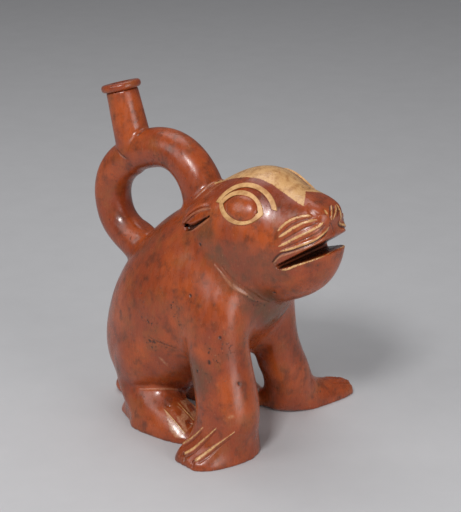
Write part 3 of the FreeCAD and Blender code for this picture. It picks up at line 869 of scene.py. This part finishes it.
def walled(triangles, edges, places, inner_places):
    """Gives an open skin a wall: an inner skin, and a rim along the open edges."""
    count = len(places)
    inner = triangles[:, ::-1] + count
    a, b = edges.T
    rim = np.vstack([np.column_stack((b, a, a + count)), np.column_stack((b, a + count, b + count))])
    return np.vstack([places, inner_places]), np.vstack([triangles, inner, rim])


def capped(triangles, edges, places):
    """Closes an open skin with a cap on each ring of open edges."""
    places = [places]
    triangles = [triangles]
    count = len(places[0])
    for ring in edge_rings(edges):
        places.append(places[0][ring[:, 0]].mean(axis=0, keepdims=True))
        triangles.append(np.column_stack((ring[:, 1], ring[:, 0], np.full(len(ring), count))))
        count += 1
    return np.vstack(places), np.vstack(triangles)


def clay_piece(name, rows, triangles, wall):
    """One closed piece of clay, with the whole skin's normals, so that no joint shows in its shading."""
    used, corners = np.unique(triangles, return_inverse=True)
    triangles = corners.reshape(-1, 3)
    rows = rows[used]
    worked, base, normals, base_normals = (rows[:, i:i + 3] for i in (0, 3, 6, 9))
    depths = rows[:, 12:13]
    marks = rows[:, 13:]
    edges = open_edges(triangles, len(rows))
    if wall:
        inner_places = base - base_normals * np.minimum(wall, WALL_SHARE * depths)
        places, triangles = walled(triangles, edges, worked, inner_places)
    else:
        places, triangles = capped(triangles, edges, worked)
    extra = len(places) - len(rows)
    mesh = bpy.data.meshes.new(name)
    mesh.vertices.add(len(places))
    mesh.vertices.foreach_set("co", places.ravel())
    mesh.loops.add(triangles.size)
    mesh.loops.foreach_set("vertex_index", triangles.ravel().astype(np.int32))
    mesh.polygons.add(len(triangles))
    mesh.polygons.foreach_set("loop_start", np.arange(0, triangles.size, 3, dtype=np.int32))
    mesh.update(calc_edges=True)
    inside = -normals if wall else np.tile((0.0, 0.0, 0.0), (extra, 1))
    mesh.normals_split_custom_set_from_vertices(np.vstack([normals, inside]).tolist())
    for i, mark in enumerate(MARKS):
        put_attribute(mesh, mark, np.concatenate([marks[:, i], np.zeros(extra)]))
    obj = bpy.data.objects.new(name, mesh)
    bpy.context.scene.collection.objects.link(obj)
    return obj


def make_clay():
    """All the clay pieces, each named after the frame's node that it stands for."""
    skin = make_skin()
    rows = work_clay(skin)
    skin.data.calc_loop_triangles()
    distances = nearness(skin)
    triangles = read(skin.data.loop_triangles, "vertices", 3, np.int32).astype(int)
    rows, triangles, labels = part_triangles(triangles, distances.argmin(axis=1), distances, rows)
    pieces = {}
    for i, node in enumerate(CLAY):
        wall = SHELL_WALL if node in SHELLS else TUBE_WALL if node in TUBES else 0
        piece = clay_piece(node + "_clay", rows, triangles[labels == i], wall)
        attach(piece, "root")
        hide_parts(node)
        pieces[node] = piece
    bpy.data.objects.remove(skin)
    return pieces


# Finishes.

def linear(*srgb):
    """A colour given as screen values from 0 to 255."""
    shares = [value / 255 for value in srgb]
    return [s / 12.92 if s <= 0.04045 else ((s + 0.055) / 1.055) ** 2.4 for s in shares] + [1]


RED_SLIP = linear(146, 62, 28)
ORANGE_SLIP = linear(172, 78, 31)
OCHRE_SLIP = linear(146, 78, 34)
# Maroon slip and smoke brown serve the clay's blotches and painted shade in hollows.
MAROON_SLIP_AND_SHADE = linear(120, 50, 32)
BROWN_SLIP = linear(88, 44, 24)
SMOKE_AND_SHADE_BROWN = linear(104, 66, 40)
# Pale clay serves worn clay and painted highlights.
PALE_CLAY_AND_HIGHLIGHT = linear(204, 150, 112)
# Dark dirt serves dirt in pits, chips and cracks, and painted shade in grooves and hollows.
DARK_DIRT_AND_SHADE = linear(34, 20, 15)
CREAM_SLIP = linear(214, 166, 110)
CREAM_SHADE = linear(176, 124, 72)
FLOOR_GREY = linear(196, 196, 198)
FLOOR_PALE = linear(204, 204, 206)

# Noises: how long their blotches are, their detail and roughness, and where they are read.
Noise = namedtuple("Noise", "size detail roughness shift", defaults=(4, 0.6, (0, 0, 0)))

PATCHY = Noise(8 * MM, 6, 0.68, (0.3, 0.1, 0.7))
WORN = Noise(2.6 * MM, 5, 0.7)
CRUMBLY = Noise(1.1 * MM, 4, 0.7, (0.1, 0.6, 0.3))
GRAINY = Noise(0.9 * MM, 3)
STROKES = Noise(3 * MM, 3)
STROKE_STRETCH = (1, 1, 0.25)
PITS = Noise(1.5 * MM, 2, 0.6, (0.5, 0.5, 0.1))
PIT_FIELDS = Noise(14 * MM, 3, 0.6, (0.2, 0.8, 0.4))
CREAM_CLOUDS = Noise(5 * MM)
CREAM_WEAR = Noise(1.6 * MM, 5, 0.7)
FLOOR_CLOUDS = Noise(30 * MM)

# Blotches of the red slip, from the first laid to the last: the noise, its values where a blotch starts and
# is full, the blotch's strength and colour, and the mark that adds to it.
Blotch = namedtuple("Blotch", "noise low high strength colour mark", defaults=(None,))

BLOTCHES = (
    Blotch(Noise(26 * MM, 5), 0.38, 0.66, 1, ORANGE_SLIP),
    Blotch(Noise(13 * MM, 4, 0.6, (0.8, 0.3, 0.5)), 0.5, 0.7, 0.6, OCHRE_SLIP),
    # The maroon and smoke marks also lay painted shade under the chin and between the right foreleg and the
    # hind flipper.
    Blotch(Noise(34 * MM, 4, 0.6, (0.6, 0.9, 0.1)), 0.52, 0.72, 0.7, MAROON_SLIP_AND_SHADE, "maroon_and_shade"),
    Blotch(PATCHY, 0.46, 0.74, 0.85, BROWN_SLIP),
    Blotch(Noise(40 * MM, 3, 0.6, (0.9, 0.4, 0.2)), 0.58, 0.8, 0.5, SMOKE_AND_SHADE_BROWN, "smoke_and_shade"),
    Blotch(GRAINY, 0.5, 0.78, 0.4, BROWN_SLIP),
    Blotch(Noise(1.3 * MM, 2, 0.6, (0.7, 0.2, 0.9)), 0.66, 0.74, 0.3, PALE_CLAY_AND_HIGHLIGHT),
)

# What makes a mark ragged: a noise, its values at two ends, and the share of the mark that stays at each.
Rag = namedtuple("Rag", "noise low high least most")

RAGS = {
    "maroon_and_shade": Rag(WORN, 0.2, 0.5, 0.5, 1),
    "smoke_and_shade": Rag(PATCHY, 0.3, 0.6, 0.3, 1),
    "wear_and_highlight": Rag(CRUMBLY, 0.35, 0.6, 0.2, 1),
    "cream": Rag(CRUMBLY, 0.3, 0.6, 0.42, 1.2),
}

# How strongly dirt and painted shade cover the clay, how high its strokes, grain and pits are, and how it
# shines.
DIRT_AND_SHADE_STRENGTH = 0.85
STROKE_HEIGHT = 0.08 * MM
GRAIN_HEIGHT = 0.02 * MM
PIT_HEIGHT = 0.15 * MM
SPECULAR_LEVEL = 0.6
FLOOR_ROUGHNESS = 0.7


class Finish:
    """A material under a name, and short ways to add and link its nodes."""

    def __init__(self, name):
        self.material = bpy.data.materials.new(name)
        self.material.use_nodes = True
        self.tree = self.material.node_tree
        self.shader = self.tree.nodes["Principled BSDF"]
        self.place = self.add("ShaderNodeTexCoord").outputs["Object"]

    def put(self, socket, value):
        """Links the value to the socket if it is one itself, and sets it otherwise."""
        if isinstance(value, bpy.types.NodeSocket):
            self.tree.links.new(value, socket)
        else:
            socket.default_value = value

    def add(self, kind, inputs=(), **settings):
        """Adds a node, sets what is named and puts its inputs."""
        node = self.tree.nodes.new(kind)
        for name, value in settings.items():
            setattr(node, name, value)
        for key, value in dict(inputs).items():
            self.put(node.inputs[key], value)
        return node

    def noise(self, noise, stretch=(1, 1, 1)):
        inputs = {"Vector": self.place, "Scale": stretch, "Location": noise.shift}
        place = self.add("ShaderNodeMapping", inputs)
        inputs = {
            "Vector": place.outputs[0],
            "Scale": 1 / noise.size,
            "Detail": noise.detail,
            "Roughness": noise.roughness,
        }
        return self.add("ShaderNodeTexNoise", inputs).outputs["Fac"]

    def between(self, value, low, high, to_low=0, to_high=1):
        """The value's way from low to high, softened and kept within its ends."""
        inputs = {"Value": value, "From Min": low, "From Max": high, "To Min": to_low, "To Max": to_high}
        return self.add("ShaderNodeMapRange", inputs, interpolation_type="SMOOTHSTEP").outputs[0]

    def combine(self, operation, first, second):
        return self.add("ShaderNodeMath", {0: first, 1: second}, operation=operation).outputs[0]

    def mix(self, share, first, second):
        node = self.add("ShaderNodeMix", data_type="RGBA")
        colours = [s for s in node.inputs if s.type == "RGBA"]
        for socket, value in ((node.inputs[0], share), (colours[0], first), (colours[1], second)):
            self.put(socket, value)
        return [s for s in node.outputs if s.type == "RGBA"][0]

    def mark(self, name):
        return self.add("ShaderNodeAttribute", attribute_name=name).outputs["Fac"]

    def ragged(self, name):
        """The mark under that name with ragged edges."""
        rag = RAGS[name]
        share = self.between(self.noise(rag.noise), rag.low, rag.high, rag.least, rag.most)
        return self.combine("MULTIPLY", self.mark(name), share)

    def set(self, name, value):
        self.put(self.shader.inputs[name], value)

    def bump(self, heights):
        """Heights in metres, as pairs of a value and its full height."""
        normal = None
        for value, height in heights:
            inputs = {"Height": value, "Strength": 1.0, "Distance": height}
            if normal:
                inputs["Normal"] = normal
            normal = self.add("ShaderNodeBump", inputs).outputs[0]
        self.set("Normal", normal)


def shaded_cream(finish):
    return finish.mix(finish.between(finish.noise(CREAM_CLOUDS), 0.4, 0.7), CREAM_SLIP, CREAM_SHADE)


def pit_share(finish):
    """How much of a pit each place is."""
    fields = finish.between(finish.noise(PIT_FIELDS), 0.56, 0.68, 0, 0.7)
    fields = finish.combine("MAXIMUM", fields, finish.mark("pits"))
    return finish.combine("MULTIPLY", finish.between(finish.noise(PITS), 0.6, 0.66), fields)


def burnished_slip(name):
    """Red slip rubbed with a pebble: clouded colour, worn cream slip, dirt in pits and lines, painted shade
    in grooves and hollows, painted highlights on ridges, soft gloss.
    """
    finish = Finish(name)
    colour = RED_SLIP
    for blotch in BLOTCHES:
        share = finish.between(finish.noise(blotch.noise), blotch.low, blotch.high, 0, blotch.strength)
        if blotch.mark:
            share = finish.combine("MAXIMUM", share, finish.ragged(blotch.mark))
        colour = finish.mix(share, colour, blotch.colour)
    # Pale clay: scraped wear, and painted highlights on rims and ridges.
    colour = finish.mix(finish.ragged("wear_and_highlight"), colour, PALE_CLAY_AND_HIGHLIGHT)
    colour = finish.mix(finish.between(finish.ragged("cream"), 0.4, 0.6), colour, shaded_cream(finish))
    pit = pit_share(finish)
    # Dark dirt in pits, chips and cracks, and painted shade in grooves.
    for spot in (finish.mark("dirt_and_shade"), pit):
        colour = finish.mix(finish.combine("MULTIPLY", spot, DIRT_AND_SHADE_STRENGTH), colour, DARK_DIRT_AND_SHADE)
    # Painted shade in hollows, from the cavity measure.
    colour = finish.mix(finish.between(finish.mark("cavity_shade"), 0.1, 0.7, 0, 0.9), colour, DARK_DIRT_AND_SHADE)
    finish.set("Base Color", colour)
    strokes = finish.noise(STROKES, STROKE_STRETCH)
    finish.set("Roughness", finish.between(strokes, 0.3, 0.7, 0.2, 0.38))
    finish.set("Specular IOR Level", SPECULAR_LEVEL)
    flat = finish.combine("SUBTRACT", 1, pit)
    finish.bump([(strokes, STROKE_HEIGHT), (finish.noise(GRAINY), GRAIN_HEIGHT), (flat, PIT_HEIGHT)])
    return finish.material


def cream_slip(name):
    """Cream slip, brushed on, worn and cracked to the red beneath."""
    finish = Finish(name)
    wear = finish.noise(CREAM_WEAR)
    finish.set("Base Color", finish.mix(finish.between(wear, 0.62, 0.72), shaded_cream(finish), RED_SLIP))
    finish.set("Roughness", finish.between(wear, 0.3, 0.7, 0.4, 0.55))
    finish.bump([(wear, STROKE_HEIGHT)])
    return finish.material


# The room: a pale floor, soft lamps and the camera.

FLOOR_SIZE = 12
ROOM_COLOUR = (0.8, 0.8, 0.82, 1)
ROOM_STRENGTH = 0.21
CLIP_START = 0.05
CLIP_END = 50

# The lamps look at a point between the origin and the eyes. Each has a name, a place in metres to the
# camera's right, up and towards the camera, a size in metres and a power in watts.
AIM_SHARE = 0.6
LAMPS = (
    ("key_lamp", (-0.3, 1.0, 0.95), 0.24, 9),
    ("fill_lamp", (-0.85, 0.75, 0.5), 0.6, 2.6),
    ("front_lamp", (0.75, 0.35, 0.9), 0.6, 4.5),
    ("top_lamp", (-0.1, 1.3, -0.4), 0.8, 4),
)


def make_floor():
    deselect()
    bpy.ops.mesh.primitive_plane_add(size=FLOOR_SIZE)
    floor = bpy.context.object
    floor.name = "floor"
    finish = Finish("pale_floor")
    finish.set("Base Color", finish.mix(finish.noise(FLOOR_CLOUDS), FLOOR_GREY, FLOOR_PALE))
    finish.set("Roughness", FLOOR_ROUGHNESS)
    floor.data.materials.append(finish.material)


def softbox(name, place, size, power):
    """A square lamp that looks at the vessel."""
    lamp = bpy.data.lights.new(name, "AREA")
    lamp.size = size
    lamp.energy = power
    obj = bpy.data.objects.new(name, lamp)
    obj.location = place
    aim = EYE_MIDDLE * AIM_SHARE
    obj.rotation_euler = (aim - obj.location).to_track_quat("-Z", "Y").to_euler()
    bpy.context.scene.collection.objects.link(obj)


def make_light():
    level = Vector((BACK.x, BACK.y, 0)).normalized()
    for name, (across, up, towards), size, power in LAMPS:
        softbox(name, ACROSS * across + Vector((0, 0, up)) + level * towards, size, power)
    world = bpy.data.worlds.new("room")
    world.use_nodes = True
    background = world.node_tree.nodes["Background"]
    background.inputs["Color"].default_value = ROOM_COLOUR
    background.inputs["Strength"].default_value = ROOM_STRENGTH
    bpy.context.scene.world = world
    bpy.context.scene.view_settings.view_transform = "Standard"


def make_camera():
    data = bpy.data.cameras.new("camera")
    data.sensor_width = SENSOR
    data.lens = FOCAL_PIXELS * SENSOR / PICTURE_HEIGHT
    data.clip_start = CLIP_START
    data.clip_end = CLIP_END
    camera = bpy.data.objects.new("camera", data)
    camera.location = CAMERA_PLACE
    camera.rotation_euler = Matrix((ACROSS, UP, BACK)).transposed().to_euler()
    bpy.context.scene.collection.objects.link(camera)
    bpy.context.scene.camera = camera


def finish_piece(obj, material):
    obj.data.materials.clear()
    obj.data.materials.append(material)


def main():
    clay = make_clay()
    slip = burnished_slip("burnished_red_slip")
    cream = cream_slip("cream_slip")
    for node, piece in clay.items():
        finish_piece(piece, slip)
    finish_piece(frame["nodes"]["spout_lip"], slip)
    for side in SIDES:
        finish_piece(frame["nodes"]["eyeball_" + side], slip)
        for band in ("eyelid_ring_", "brow_band_"):
            finish_piece(frame["nodes"][band + side], cream)
    make_floor()
    make_light()
    make_camera()


main()
